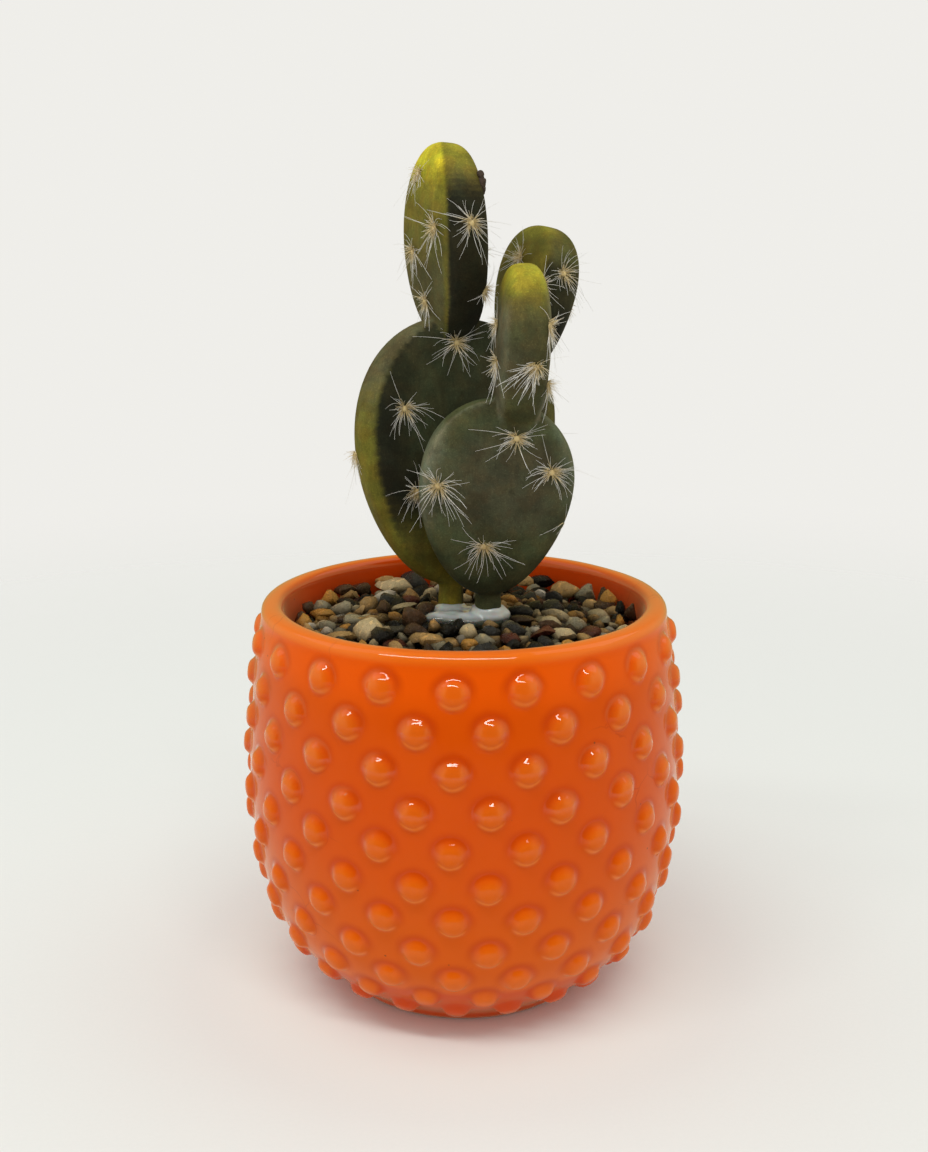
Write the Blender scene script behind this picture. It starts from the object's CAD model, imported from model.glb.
# %% [markdown]
# # A cactus arrangement in a studded pot
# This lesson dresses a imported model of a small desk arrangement: a glazed pot with rows of round studs,
# a bed of aquarium gravel, a pool of glue, and two prickly-pear stems of painted foam plastic with bunches
# of fibre spines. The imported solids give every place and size, and each piece is made again here in finer
# shape, in the same place and in metres.

# %% Load the frame
import math
import random

import bmesh
import bpy
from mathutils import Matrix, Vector, kdtree, noise
from mathutils.bvhtree import BVHTree


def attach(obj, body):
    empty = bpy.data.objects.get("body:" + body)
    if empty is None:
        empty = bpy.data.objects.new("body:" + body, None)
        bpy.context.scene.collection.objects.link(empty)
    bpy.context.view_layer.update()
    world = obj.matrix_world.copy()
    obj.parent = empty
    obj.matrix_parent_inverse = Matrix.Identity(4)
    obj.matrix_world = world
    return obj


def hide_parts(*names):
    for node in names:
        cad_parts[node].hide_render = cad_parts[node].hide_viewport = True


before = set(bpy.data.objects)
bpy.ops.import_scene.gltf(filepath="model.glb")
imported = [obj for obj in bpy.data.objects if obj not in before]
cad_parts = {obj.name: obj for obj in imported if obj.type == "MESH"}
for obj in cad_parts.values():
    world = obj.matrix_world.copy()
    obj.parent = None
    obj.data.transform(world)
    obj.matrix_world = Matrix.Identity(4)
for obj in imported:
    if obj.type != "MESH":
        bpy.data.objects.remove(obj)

MM = 0.001
TURN = 2 * math.pi
UP = Vector((0, 0, 1))
LEVEL = Vector((1, 1, 0))
EACH_WAY = Vector((1, 1, 1))
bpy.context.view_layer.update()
print("the frame has", len(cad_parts), "nodes")

# %% [markdown]
# ## Camera
# The photograph looks down on the pot by about 14 degrees from 32 cm in front of it. The place, the tilt and
# the lens were found by laying the rim and the rows of studs over the picture until they agreed.

# %% The camera
PHOTO_SIZE = (928, 1152)
CAMERA_PLACE = Vector((0, -320 * MM, 176.3 * MM))
CAMERA_PITCH = math.radians(14.2)
LENS = 45.25
SENSOR = 36
FOCAL_PIXELS = LENS / SENSOR * max(PHOTO_SIZE)


def show(name, data):
    """A new object in the scene."""
    made = bpy.data.objects.new(name, data)
    bpy.context.scene.collection.objects.link(made)
    return made


eye = show("camera", bpy.data.cameras.new("camera"))
eye.data.lens = LENS
eye.data.sensor_width = SENSOR
eye.data.clip_start = 10 * MM
eye.location = CAMERA_PLACE
eye.rotation_euler = (math.pi / 2 - CAMERA_PITCH, 0, 0)
bpy.context.scene.camera = eye
bpy.context.scene.view_settings.view_transform = "Standard"
print("camera", round(FOCAL_PIXELS), "pixels of focal length")


# %% [markdown]
# ## Sums written as sums
# A material or a Geometry Nodes tree holds a lot of arithmetic. The small class here stands for the output
# of a node, and an ordinary expression such as `1 - mask * 0.5` on it adds the Math nodes. Numbers that are
# the same everywhere are worked out before they reach a node. Every other node comes from one method.

# %% Values and the bench that makes nodes
def switched_on(sockets, name):
    """The socket of that name, or of that number, among those that the node's settings leave switched on."""
    shown = [socket for socket in sockets if socket.enabled]
    if isinstance(name, int):
        return shown[name]
    return next(socket for socket in shown if socket.name == name)


def operator(operation, swapped=False):
    """What an arithmetic sign does between two values, or between a number and a value when swapped."""
    def apply(value, other):
        return value.bench.sum(operation, *((other, value) if swapped else (value, other)))
    return apply


class Value:
    """One output of a node. A sum on it adds a Math or Vector Math node."""

    __add__, __radd__ = operator("ADD"), operator("ADD", swapped=True)
    __sub__, __rsub__ = operator("SUBTRACT"), operator("SUBTRACT", swapped=True)
    __mul__, __rmul__ = operator("MULTIPLY"), operator("MULTIPLY", swapped=True)
    __truediv__, __rtruediv__ = operator("DIVIDE"), operator("DIVIDE", swapped=True)

    def __init__(self, bench, socket):
        self.bench = bench
        self.socket = socket

    def __getitem__(self, name):
        return Value(self.bench, switched_on(self.socket.node.outputs, name))


def has_direction(thing):
    return isinstance(thing, (tuple, Vector)) or (isinstance(thing, Value) and thing.socket.type == "VECTOR")


class Bench:
    """Puts the nodes of one tree together."""

    def __init__(self, tree):
        self.tree = tree

    def plug(self, socket, value):
        if isinstance(value, list):
            for one in value:
                self.plug(socket, one)
        elif isinstance(value, Value):
            self.tree.links.new(value.socket, socket)
        elif socket.type == "RGBA":
            socket.default_value = (*value, 1)
        elif socket.type == "VECTOR" and not has_direction(value):
            socket.default_value = (value, value, value)
        else:
            socket.default_value = value

    def node(self, kind, plugs=None, stops=None, curve=None, **settings):
        """A node of that kind: its settings first, then the values or links of its sockets."""
        made = self.tree.nodes.new(kind)
        for name, value in settings.items():
            setattr(made, name, value)
        if stops:
            self.set_stops(made.color_ramp, stops)
        if curve:
            self.set_curve(made.mapping, curve)
        for name, value in (plugs or {}).items():
            self.plug(switched_on(made.inputs, name), value)
        return Value(self, switched_on(made.outputs, 0)) if made.outputs else made

    def set_stops(self, ramp, stops):
        """A colour ramp with plain steps, a colour from each place on to the next."""
        while len(ramp.elements) < len(stops):
            ramp.elements.new(1)
        for element, (place, colour) in zip(ramp.elements, stops):
            element.position = place
            element.color = (*colour, 1)
        ramp.interpolation = "CONSTANT"

    def set_curve(self, mapping, points):
        curve = mapping.curves[0]
        for place, height in points[1:-1]:
            curve.points.new(place, height)
        curve.points[0].location = points[0]
        curve.points[len(points) - 1].location = points[-1]
        mapping.update()

    def sum(self, operation, left, right):
        if has_direction(left) and has_direction(right):
            return self.vector(operation, left, right)
        if has_direction(left) or has_direction(right):
            vector, number = (left, right) if has_direction(left) else (right, left)
            if operation == "MULTIPLY":
                plugs = {"Vector": vector, "Scale": number}
                return self.node("ShaderNodeVectorMath", plugs, operation="SCALE")
            return self.vector(operation, left, right)
        return self.math(operation, left, right)

    def math(self, operation, *values):
        return self.node("ShaderNodeMath", dict(enumerate(values)), operation=operation)

    def vector(self, operation, *values):
        return self.node("ShaderNodeVectorMath", dict(enumerate(values)), operation=operation)

    def axis(self, vector, name):
        return self.node("ShaderNodeSeparateXYZ", {0: vector})[name]

    def xyz(self, x, y, z):
        return self.node("ShaderNodeCombineXYZ", {"X": x, "Y": y, "Z": z})

    def soft_step(self, value, low, high):
        """0 below the low value, 1 above the high one and smooth between them."""
        plugs = {"Value": value, "From Min": low, "From Max": high}
        return self.node("ShaderNodeMapRange", plugs, interpolation_type="SMOOTHSTEP")

    def band(self, value, start, full, still, end):
        """1 between the two middle values, and smooth down to 0 at the outer ones."""
        return self.soft_step(value, start, full) * (1 - self.soft_step(value, still, end))

    def mix(self, first, second, share, kind="MIX"):
        """A colour between two, or with another kind their product and so on."""
        settings = {"data_type": "RGBA", "blend_type": kind, "clamp_factor": True}
        return self.node("ShaderNodeMix", {"Factor": share, "A": first, "B": second}, **settings)

    def tinted(self, colour, tint, share=None):
        """A colour multiplied by a tint, all over or by a share."""
        product = self.mix(colour, tint, 1.0, "MULTIPLY")
        return product if share is None else self.mix(colour, product, share)

    def noise(self, where, size, detail=2.0, roughness=0.5):
        """Noise whose patches are about that size in metres, from 0 to 1."""
        plugs = {"Vector": where, "Scale": 1 / size, "Detail": detail, "Roughness": roughness}
        return self.node("ShaderNodeTexNoise", plugs)

    def cells(self, where, size, **settings):
        """The distance within cells of about that size."""
        plugs = {"Vector": where, "Scale": 1 / size}
        return self.node("ShaderNodeTexVoronoi", plugs, **settings)["Distance"]

    def attribute(self, name, output="Fac"):
        return self.node("ShaderNodeAttribute", attribute_name=name)[output]

    def bump(self, height, depth, strength=1.0):
        return self.node("ShaderNodeBump", {"Height": height, "Distance": depth, "Strength": strength})


print("the bench is ready")


# %% Materials
VECTOR, FLOAT = "FLOAT_VECTOR", "FLOAT"


def new_material(name, same_all_over):
    """A material whose shader holds those numbers, with its bench and the place on the object."""
    material = bpy.data.materials.new(name)
    material.use_nodes = True
    shader = material.node_tree.nodes["Principled BSDF"]
    for socket, value in same_all_over.items():
        shader.inputs[socket].default_value = value
    bench = Bench(material.node_tree)
    return material, bench, bench.node("ShaderNodeTexCoord")["Object"]


def dress(material, bench, varying):
    """Plugs in what varies over the surface. It is the last step of every material."""
    shader = material.node_tree.nodes["Principled BSDF"]
    for socket, value in varying.items():
        bench.plug(shader.inputs[socket], value)
    return material


print("materials can be made")


# %% Meshes and objects
def mesh_from(bm, name):
    mesh = bpy.data.meshes.new(name)
    bm.to_mesh(mesh)
    bm.free()
    return mesh


def mesh_of_points(name, points, **layers):
    """Loose points, and for each named layer its kind and a value for each point."""
    mesh = bpy.data.meshes.new(name)
    mesh.from_pydata([tuple(point) for point in points], [], [])
    for label, (kind, values) in layers.items():
        layer = mesh.attributes.new(label, kind, "POINT")
        for item, value in zip(layer.data, values):
            setattr(item, "vector" if kind == VECTOR else "value", value)
    return mesh


def plain_copy(maker, name):
    """A plain mesh object of what an object's modifiers make, in place of that object."""
    evaluated = maker.evaluated_get(bpy.context.evaluated_depsgraph_get())
    mesh = bpy.data.meshes.new_from_object(evaluated)
    mesh.name = name
    made = show(name, mesh)
    bpy.data.objects.remove(maker)
    return made


def triangles(piece):
    return sum(len(face.vertices) - 2 for face in piece.data.polygons)


def settle(piece, slot, *nodes):
    """The last step for each piece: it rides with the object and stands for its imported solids."""
    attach(piece, "root")
    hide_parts(*nodes)
    low, high = (Vector(corner) for corner in (piece.bound_box[0], piece.bound_box[6]))
    size = [round(side / MM, 1) for side in high - low]
    print(piece.name, triangles(piece), "triangles,", size, "mm")


print("meshes and objects can be made")


# %% Trees of Geometry Nodes
SOCKET_KINDS = {int: "NodeSocketInt", float: "NodeSocketFloat", bpy.types.Material: "NodeSocketMaterial"}


class Tree(Bench):
    """A Geometry Nodes tree with a named input for each size."""

    def __init__(self, name, sizes):
        super().__init__(bpy.data.node_groups.new(name, "GeometryNodeTree"))
        self.sizes = sizes
        interface = self.tree.interface
        interface.new_socket("Geometry", in_out="INPUT", socket_type="NodeSocketGeometry")
        for label, value in sizes.items():
            kind = SOCKET_KINDS.get(type(value), "NodeSocketObject")
            socket = interface.new_socket(label, in_out="INPUT", socket_type=kind)
            if isinstance(value, (int, float)):
                socket.default_value = value
        interface.new_socket("Geometry", in_out="OUTPUT", socket_type="NodeSocketGeometry")
        self.given = self.node("NodeGroupInput")

    def position(self):
        return self.node("GeometryNodeInputPosition")

    def move(self, geometry, **plugs):
        """Sets the Position of a geometry's points, or moves them by an Offset."""
        return self.node("GeometryNodeSetPosition", {"Geometry": geometry, **plugs})

    def keep(self, geometry, name, kind, value):
        plugs = {"Geometry": geometry, "Name": name, "Value": value}
        return self.node("GeometryNodeStoreNamedAttribute", plugs, data_type=kind, domain="POINT")

    def read(self, name, kind=FLOAT):
        return self.node("GeometryNodeInputNamedAttribute", {"Name": name}, data_type=kind)

    def chance(self, low, high, seed):
        """A number or a vector for each point, drawn between two."""
        kind = VECTOR if has_direction(high) else {int: "INT", float: FLOAT}[type(high)]
        plugs = {"Min": low, "Max": high, "Seed": self.given["Seed"] + seed}
        return self.node("FunctionNodeRandomValue", plugs, data_type=kind)

    def compare(self, left, right, operation="GREATER_THAN", kind=FLOAT):
        return self.node("FunctionNodeCompare", {"A": left, "B": right}, operation=operation, data_type=kind)

    def either(self, left, right):
        return self.node("FunctionNodeBooleanMath", {0: left, 1: right}, operation="OR")

    def sample(self, geometry, vector, index):
        """A vector read at the point of that number."""
        plugs = {"Geometry": geometry, "Value": vector, "Index": index}
        return self.node("GeometryNodeSampleIndex", plugs, data_type=VECTOR, domain="POINT")

    def repeat(self, points, amount):
        plugs = {"Geometry": points, "Amount": amount}
        return self.node("GeometryNodeDuplicateElements", plugs, domain="POINT")

    def smooth(self, geometry):
        return self.node("GeometryNodeSetShadeSmooth", {"Geometry": geometry, "Shade Smooth": True})

    def ball(self, radius):
        return self.node("GeometryNodeMeshIcoSphere", {"Radius": radius, "Subdivisions": 2})

    def join(self, *parts):
        return self.node("GeometryNodeJoinGeometry", {"Geometry": list(parts)})

    def real(self, instances):
        return self.node("GeometryNodeRealizeInstances", {"Geometry": instances})

    def finish(self, geometry, material):
        """Every tree ends the same way: instances made real, then the material."""
        plugs = {"Geometry": self.real(geometry), "Material": material}
        shaded = self.node("GeometryNodeSetMaterial", plugs)
        end = self.tree.nodes.new("NodeGroupOutput")
        self.plug(end.inputs["Geometry"], shaded)
        return self

    def grow(self, name, mesh, **changed):
        """Runs the tree on a mesh and returns the result as a plain mesh object."""
        maker = show(name + "_maker", mesh)
        modifier = maker.modifiers.new("tree", "NODES")
        modifier.node_group = self.tree
        sizes = {**self.sizes, **changed}
        for item in self.tree.interface.items_tree:
            if item.in_out == "INPUT" and item.name in sizes:
                modifier[item.identifier] = sizes[item.name]
        return plain_copy(maker, name)


print("trees can be grown")


# %% [markdown]
# ## Floor and light
# The real object stands on a white table in soft daylight. The floor is a pale disc, a little lighter near
# the pot's foot, and it fades out into the background, so it has no edge. A wide softbox hangs in front and
# above, and two weak lamps above on the left and the right. The surroundings are white, but the glaze
# mirrors a dimmer and warmer room, and nearly nothing where the photographer would stand.

# %% Floor
FLOOR_RADIUS = 0.7
FLOOR_FADE = (0.13, 0.60)
FLOOR_DROP = 0.05 * MM
FLOOR_PAINT = ((0.765, 0.788, 0.765), (0.790, 0.813, 0.790))
FLOOR_NEAR_FOOT = (0.860, 0.915, 0.875)
NEAR_FOOT = (40 * MM, 68 * MM)


def make_floor():
    material, bench, place = new_material("pale_floor", {"Roughness": 0.9, "Specular IOR Level": 0.2})
    far = bench.vector("LENGTH", place)
    pale = bench.mix(*FLOOR_PAINT, bench.noise(place, 0.9 * MM, 3))
    pale = bench.mix(FLOOR_NEAR_FOOT, pale, bench.soft_step(far, *NEAR_FOOT))
    dress(material, bench, {"Base Color": pale, "Alpha": 1 - bench.soft_step(far, *FLOOR_FADE)})
    bm = bmesh.new()
    bmesh.ops.create_circle(bm, cap_ends=True, segments=96, radius=FLOOR_RADIUS)
    bmesh.ops.translate(bm, verts=bm.verts[:], vec=(0, 0, -FLOOR_DROP))
    mesh = mesh_from(bm, "floor")
    mesh.materials.append(material)
    floor = show("floor", mesh)


make_floor()
print("the floor is laid")


# %% Surroundings and lamps
BACKGROUND = (0.865, 0.855, 0.82)
ROOM = (1, 0.985, 0.955)
ROOM_STRENGTH = 0.75
ROOM_IN_GLOSS = {"ahead": (0.48, 0.40, 0.13), "sideways": (1, 0.85, 0.38), "camera": (0.05, 0.045, 0.04)}
TOWARDS_CAMERA = (0, -0.94, 0.34)
LAMP_COLOUR = (0.975, 0.985, 0.965)
LAMPS_AIM_AT = Vector((0, 0, 0.1))
# Each lamp: place, size and power
LAMPS = {
    "softbox_in_front": ((-0.12, -0.50, 1.05), (1.20, 0.12), 5.2),
    "lamp_above_left": ((-0.60, 0.10, 0.85), (0.7, 0.7), 0.55),
    "lamp_above_right": ((0.60, 0.20, 0.85), (0.7, 0.7), 0.65),
}


def light_surroundings():
    world = bpy.data.worlds.new("soft_room")
    world.use_nodes = True
    bpy.context.scene.world = world
    bench = Bench(world.node_tree)
    world.node_tree.nodes.clear()
    way = bench.node("ShaderNodeTexCoord")["Generated"]
    dark = bench.soft_step(bench.vector("DOT_PRODUCT", way, TOWARDS_CAMERA), 0.55, 0.97)
    aside = bench.soft_step(bench.math("ABSOLUTE", bench.axis(way, "X")), 0.45, 0.95)
    in_gloss = bench.mix(ROOM_IN_GLOSS["ahead"], ROOM_IN_GLOSS["sideways"], aside)
    in_gloss = bench.mix(in_gloss, ROOM_IN_GLOSS["camera"], dark)
    ray = bench.node("ShaderNodeLightPath")
    light = bench.mix(ROOM, in_gloss, ray["Is Glossy Ray"])
    room = bench.node("ShaderNodeBackground", {"Color": light, "Strength": ROOM_STRENGTH})
    plain = bench.node("ShaderNodeBackground", {"Color": BACKGROUND, "Strength": 1.0})
    shown = bench.node("ShaderNodeMixShader", {"Fac": ray["Is Camera Ray"], 1: room, 2: plain})
    end = world.node_tree.nodes.new("ShaderNodeOutputWorld")
    bench.plug(end.inputs["Surface"], shown)


def hang_lamp(name, place, size, power):
    lamp = bpy.data.lights.new(name, "AREA")
    lamp.shape = "RECTANGLE"
    lamp.size, lamp.size_y = size
    lamp.energy = power
    lamp.color = LAMP_COLOUR
    holder = show(name, lamp)
    holder.location = place
    holder.rotation_euler = (LAMPS_AIM_AT - Vector(place)).to_track_quat("-Z", "Y").to_euler()


light_surroundings()
for name, (place, size, power) in LAMPS.items():
    hang_lamp(name, place, size, power)
print(len(LAMPS), "lamps are in place")


# %% [markdown]
# ## Pot
# The pot is cast stoneware: a barrel with eleven staggered rows of twenty round studs, a plain band and a
# rounded lip. A surface that is turned and carries a regular pattern follows a rule, so Geometry Nodes make
# it. A grid is wrapped round the axis along the section, and each of its points is pushed out by how near
# it is to the middle of a stud. The studs are moved a little from their places, as in a hand-made mould.

# %% The section of the pot
STUDS_PER_ROW = 20
FIRST_STUD = math.radians(-92.8)
# Radius and height in millimetres, here and in the lines of the section
STUD_ROWS = (
    (46.9, 83.0), (48.0, 74.6), (48.8, 66.2), (49.4, 57.7), (49.7, 49.6), (49.4, 41.5),
    (48.4, 33.5), (46.8, 25.5), (44.4, 18.1), (40.8, 12.0), (36.2, 7.0),
)
UNDERSIDE = (
    (0, 1.5), (12, 1.5), (22.8, 1.5), (23.7, 1.3), (24.4, 0.2), (24.9, 0), (28.3, 0), (29, 0.15),
    (30.1, 1.3),
)
ABOVE_FOOT = (31, 2.6)
LIP = (
    (46.2, 87.0), (46.1, 88.3), (45.9, 89.4), (45.1, 90.3), (43.4, 90.7), (42.0, 90.4), (41.2, 89.5),
    (41, 88.3),
)
INNER_WALL = ((41, 74.5), (44.4, 58), (45.2, 43), (44.0, 32), (40.0, 18.1), (31.5, 6), (16, 6), (0, 6))
OUTSIDE_STEP = 0.64
INSIDE_STEP = 9.0
COLUMNS = 470


def smooth_line(points, step):
    """Points along a smooth curve through the given ones, about a step apart, in millimetres."""
    ends = [2 * Vector(points[0]) - Vector(points[1]), 2 * Vector(points[-1]) - Vector(points[-2])]
    known = [ends[0], *map(Vector, points), ends[1]]
    line = []
    for before, start, end, after in zip(known, known[1:], known[2:], known[3:]):
        count = max(1, round((end - start).length / step))
        for k in range(count):
            t = k / count
            line.append(0.5 * (
                2 * start + (end - before) * t + (2 * before - 5 * start + 4 * end - after) * t ** 2
                + (3 * start - before - 3 * end + after) * t ** 3
            ))
    return line + [known[-2]]


def section_points(name, line):
    return mesh_of_points(name, [(radius * MM, 0, height * MM) for radius, height in line])


outside = smooth_line([UNDERSIDE[-1], ABOVE_FOOT, *reversed(STUD_ROWS), *LIP], OUTSIDE_STEP)
section = [Vector(point) for point in UNDERSIDE[:-1]] + outside + smooth_line(INNER_WALL, INSIDE_STEP)
section_mesh = section_points("pot_section", section)
stud_rows = bpy.data.objects.new("stud_rows", section_points("stud_rows", STUD_ROWS))
print(len(section), "rings along the section of the pot")


# %% The glaze
GLAZE_ALL_OVER = {
    "IOR": 1.45, "Specular IOR Level": 0.06, "Specular Tint": (1, 0.72, 0.45, 1), "Coat IOR": 1.75,
    "Coat Roughness": 0.03, "Sheen Weight": 0.20, "Sheen Roughness": 0.45, "Sheen Tint": (1, 0.92, 0.42, 1),
}
# The first three come as a pair, which a noise blends
GLAZE = {
    "deep": ((0.62, 0.064, 0.0004), (0.70, 0.084, 0.0005)),
    "amber": ((0.68, 0.098, 0.0015), (0.74, 0.116, 0.002)),
    "thin": ((0.71, 0.122, 0.003), (0.77, 0.145, 0.005)),
    "band": (0.78, 0.089, 0.0005), "pooled": (0.52, 0.038, 0.0005), "crescent": (0.90, 0.235, 0.030),
    "lip": (0.80, 0.150, 0.006), "inside": (0.62, 0.050, 0.0004), "crack": (0.36, 0.022, 0.0005),
    "speck": (0.10, 0.03, 0.01),
}


def make_glaze():
    """Orange glaze: thick and deep in the hollows, thin and lighter where it runs off the studs."""
    material, bench, place = new_material("orange_glaze", GLAZE_ALL_OVER)
    step, band, mix = bench.soft_step, bench.band, bench.mix
    # 0 in the middle of a stud and 1 at its foot, and from -1 below its middle to 1 above
    near, above = bench.attribute("stud_distance"), bench.attribute("above_stud")
    height = bench.axis(place, "Z")
    inside = 1 - step(bench.vector("LENGTH", place * LEVEL), 41.3 * MM, 42.6 * MM)
    on_lip = step(height, 87.7 * MM, 89.7 * MM)
    cloud = bench.noise(place, 14 * MM, 3)

    # Amber at the foot, deeper further up, and redder on the plain band
    colour = mix(mix(*GLAZE["amber"], cloud), mix(*GLAZE["deep"], cloud),
                 step(height + (cloud - 0.5) * (30 * MM), 12 * MM, 60 * MM))
    colour = mix(colour, GLAZE["band"], step(height, 76 * MM, 84 * MM))
    # Thin on the studs, pooled round their upper sides, with a light crescent on the lower sides
    thin = mix(*GLAZE["thin"], bench.noise(place, 1.1 * MM, 3, 0.6))
    colour = mix(colour, thin, (1 - step(near, 0.45, 0.80)) * 0.6)
    pooled = band(near, 0.66, 0.95, 0.95, 1.45) * 0.60
    colour = mix(colour, GLAZE["pooled"], pooled * step(above, -0.75, 0.7))
    below = 1 - step(above, -0.60, -0.25)
    colour = mix(colour, GLAZE["crescent"], band(near, 0.52, 0.70, 0.72, 0.92) * 0.55 * below)
    colour = mix(colour, GLAZE["lip"], on_lip * 0.8)
    colour = mix(colour, GLAZE["inside"], inside * 0.9)

    # Crazing: fine cracks and a line round the studs, in patches at the sides
    drawn = place + (bench.noise(place, 6 * MM, 2)["Color"] - (0.5, 0.5, 0.5)) * (5 * MM)
    cracks = 1 - step(bench.cells(drawn, 19 * MM, feature="DISTANCE_TO_EDGE"), 0.003, 0.011)
    cracks = cracks * step(near, 0.95, 1.05) + band(near, 0.90, 0.94, 0.94, 0.98)
    aside = step(bench.math("ABSOLUTE", bench.axis(place, "X")), 20 * MM, 34 * MM)
    patches = step(bench.noise(place, 17 * MM, 1), 0.50, 0.62)
    colour = mix(colour, GLAZE["crack"], cracks * 0.30 * patches * aside)
    specks = 1 - step(bench.cells(place, 7 * MM), 0.02, 0.045)
    colour = mix(colour, GLAZE["speck"], specks * 0.7)

    # The clear coat mirrors most on the lip and on the upper halves of the upper rows of studs
    beaded = (1 - step(near, 0.88, 1.15)) * step(above, -0.30, 0.25)
    upper_rows = step(height, 44 * MM, 66 * MM)
    waves = bench.noise(place, 1.6 * MM, 2, 0.45) + bench.noise(place, 9 * MM, 1) * 4.0
    return dress(material, bench, {
        "Base Color": colour,
        "Roughness": 0.05 + 0.05 * bench.noise(place, 5 * MM, 2),
        "Coat Weight": 0.08 + (0.14 + 0.64 * upper_rows) * beaded + 0.70 * on_lip,
        "Normal": bench.bump(waves, 0.014 * MM, 0.8),
    })


glaze = make_glaze()
print("the glaze is mixed")


# %% Turning the pot and raising the studs
STUD_REACH = 3.95
STUD_HEIGHT = 1.65
STUD_UNEVENNESS = 0.3
# The height of the wall over a stud by the distance from its middle, both as shares
STUD_SHAPE = (
    (0, 1), (0.2, 0.98), (0.38, 0.91), (0.52, 0.78), (0.62, 0.60), (0.71, 0.36), (0.80, 0.14), (0.90, 0.03),
    (1, 0),
)


def pot_tree():
    tree = Tree("turned_pot", {
        "Rows of studs": stud_rows, "Columns": COLUMNS, "Studs in a row": STUDS_PER_ROW,
        "First stud": FIRST_STUD, "Stud reach": STUD_REACH * MM, "Stud height": STUD_HEIGHT * MM,
        "Unevenness": STUD_UNEVENNESS * MM, "Seed": 3, "Glaze": glaze,
    })
    given, node = tree.given, tree.node

    def turned(vector, angle):
        return node("ShaderNodeVectorRotate", {"Vector": vector, "Angle": angle}, rotation_type="Z_AXIS")

    # The grid: across it runs the way round the pot, and up it the way along the section
    rings = node("GeometryNodeAttributeDomainSize", {"Geometry": given["Geometry"]})["Point Count"]
    grid = node("GeometryNodeMeshGrid", {
        "Size X": 1.0, "Size Y": 1.0, "Vertices X": given["Columns"] + 1, "Vertices Y": rings,
    })
    flat = tree.position()
    ring = tree.math("ROUND", (tree.axis(flat, "Y") + 0.5) * (rings - 1))
    on_section = tree.sample(given["Geometry"], tree.position(), ring)
    body = tree.move(grid, Position=turned(on_section, (tree.axis(flat, "X") + 0.5) * TURN))
    body = node("GeometryNodeMergeByDistance", {"Geometry": body, "Distance": 0.01 * MM})

    # The middle of each stud: a row's point is repeated round the pot, each second row by half a step more
    rows = node("GeometryNodeObjectInfo", {"Object": given["Rows of studs"]})["Geometry"]
    rows = tree.keep(rows, "row", "INT", node("GeometryNodeInputIndex"))
    copies = tree.repeat(rows, given["Studs in a row"])
    shifted = tree.math("MODULO", tree.read("row", "INT"), 2.0) * 0.5
    angle = given["First stud"] + (copies["Duplicate Index"] + shifted) * (TURN / given["Studs in a row"])
    loose = tree.chance(-EACH_WAY, EACH_WAY, 0) * given["Unevenness"]
    studs = tree.move(copies, Position=turned(tree.position(), angle), Offset=loose)

    # The wall is pushed out by a curve of the distance from the nearest stud
    where = tree.position()
    to_studs = {"Geometry": studs, "Sample Position": where}
    near = node("GeometryNodeProximity", to_studs, target_element="POINTS")
    share = near["Distance"] / given["Stud reach"] * (0.93 + 0.14 * tree.noise(where, 3.2 * MM, 1.0))
    rise = node("ShaderNodeFloatCurve", {"Value": share}, curve=STUD_SHAPE) * given["Stud height"]
    above_foot = tree.soft_step(tree.axis(where, "Z"), 1 * MM, 6 * MM)
    ripple = (tree.noise(where, 22 * MM, 1.0) - 0.5) * (0.35 * MM) * above_foot
    body = tree.keep(body, "stud_distance", FLOAT, share)
    over = tree.axis(where - near["Position"], "Z") / given["Stud reach"]
    body = tree.keep(body, "above_stud", FLOAT, over)
    body = tree.move(body, Offset=node("GeometryNodeInputNormal") * (rise + ripple))
    return tree.finish(tree.smooth(body), given["Glaze"])


pot = pot_tree().grow("pot_glazed", section_mesh)
bpy.data.objects.remove(stud_rows)
settle(pot, "orange_glaze", "pot")


# %% [markdown]
# ## Foam
# A block of dry florist's foam fills the pot under the gravel and grips the stems. It stays as it was packed
# and gets a finish of its own: dull green, with the fine open cells of such foam in its bump.

# %% The foam block's finish
FOAM_GREENS = ((0.07, 0.15, 0.06), (0.13, 0.22, 0.09))
FOAM_IN_CELLS = (0.03, 0.07, 0.03)


def make_foam_finish():
    material, bench, place = new_material("dry_foam", {"Specular IOR Level": 0.2})
    cells = bench.cells(place, 0.8 * MM)
    patches = bench.noise(place, 18 * MM, 3)
    colour = bench.mix(*FOAM_GREENS, patches)
    return dress(material, bench, {
        "Base Color": bench.mix(colour, FOAM_IN_CELLS, 1 - bench.soft_step(cells, 0.1, 0.5)),
        "Roughness": 0.85 + 0.1 * patches,
        "Normal": bench.bump(cells, 0.3 * MM),
    })


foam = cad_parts["foam_block"]
foam.data.materials.clear()
foam.data.materials.append(make_foam_finish())
print("foam block:", triangles(foam), "triangles as packed")


# %% [markdown]
# ## Gravel
# The bed is aquarium gravel: worn stones of 3 to 8 mm in tan, ochre, cream, grey, black and dark red. Such
# a heap is scattered, so Geometry Nodes do it: a few stone shapes are cut from a ball by flat faces, and
# points spread over the bed carry them with a turn and size of their own. The larger stones that catch the
# eye in the photograph are listed by where they show in it, and a ray from the camera finds their places.
# Loose stones keep away from the listed ones, from the stems and from the glue.

# %% The bed
# In millimetres, as all sizes of the gravel
GRAVEL_MIDDLE_TOP = 86
GRAVEL_EDGE_TOP = 82.5
GRAVEL_FLAT_RADIUS = 13
GRAVEL_REACH = 40.4
GRAVEL_FALL = (GRAVEL_MIDDLE_TOP - GRAVEL_EDGE_TOP) / (GRAVEL_REACH - GRAVEL_FLAT_RADIUS)
BED_REACH = GRAVEL_REACH - 0.1
BED_SIDES = 72
BED_BOTTOM = 76.5
BED_SUNK = 1.2
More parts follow.
